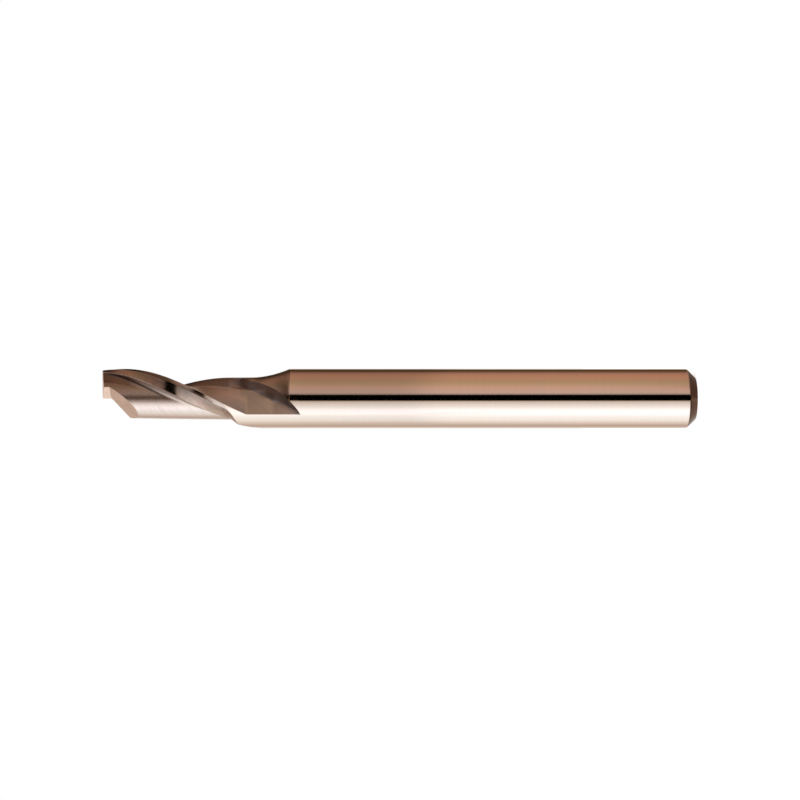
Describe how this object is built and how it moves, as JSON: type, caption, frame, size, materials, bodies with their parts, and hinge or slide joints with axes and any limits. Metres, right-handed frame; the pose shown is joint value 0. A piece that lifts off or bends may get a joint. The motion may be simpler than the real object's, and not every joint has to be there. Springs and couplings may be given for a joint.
{
  "type": "single flute end mill",
  "caption": "Solid carbide end mill with one wide helical flute, a raised relieved tooth, a slimmer body behind it and a plain round shank with a chamfered end",
  "frame": {"origin": "centre of the shank's flat end face, the lowest face of the part", "axes": "+Z along the tool's axis from the shank to the cutting tip; +X is the side that the picture shows uppermost and -Y the side that faces its camera"},
  "size_m": [0.006, 0.006, 0.06],
  "materials": {
    "coated_carbide": "bronze-brown coating over ground carbide, bright on the shank, satin in the flute and on the relief"
  },
  "bodies": {
    "root": {"end_mill": "coated_carbide"}
  },
  "joints": []
}
